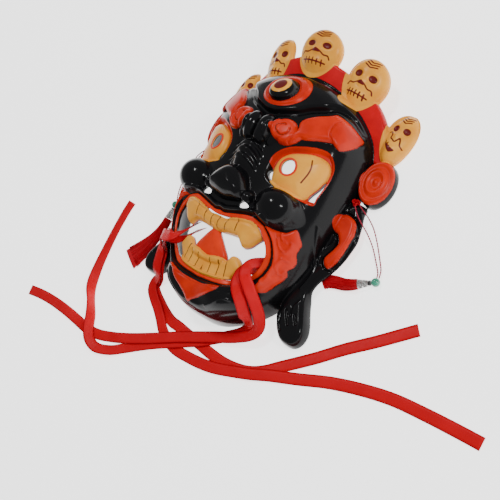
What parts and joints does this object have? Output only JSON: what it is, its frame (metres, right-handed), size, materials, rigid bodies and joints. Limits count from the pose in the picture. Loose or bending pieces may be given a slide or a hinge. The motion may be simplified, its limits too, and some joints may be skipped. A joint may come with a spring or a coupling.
{
  "type": "opera mask",
  "caption": "Moulded black wrathful-face mask with skull crown, fanged open mouth and painted relief, with red satin tie ribbons and ear tassels, lying on its back rim",
  "frame": {"origin": "middle of the underside of the mask, on the table it lies on", "axes": "+X to the right of the drawing as the camera sees the face upright, +Y from chin to crown, +Z out of the face, away from the table"},
  "size_m": [0.4707, 0.3408, 0.079],
  "materials": {
    "black_plastic": "gloss black lacquered plastic, painted in red, orange, cream and maroon",
    "red_satin": "satin ribbon",
    "crimson_cord": "twisted crimson cord",
    "green_bead": "polished green bead",
    "dark_spacer": "dark disc",
    "silver_cap": "silver filigree",
    "red_silk": "silk threads"
  },
  "bodies": {
    "root": {"mask": "black_plastic", "ribbon_right_a": "red_satin", "ribbon_right_b": "red_satin", "ribbon_left_a": "red_satin", "ribbon_left_b": "red_satin", "cord_right_a": "crimson_cord", "cord_right_b": "crimson_cord", "bead_right": "green_bead", "spacer_right": "dark_spacer", "cap_right": "silver_cap", "tassel_right": "red_silk", "cord_left_a": "crimson_cord", "cord_left_b": "crimson_cord", "bead_left": "green_bead", "spacer_left": "dark_spacer", "cap_left": "silver_cap", "tassel_left": "red_silk"}
  },
  "joints": []
}
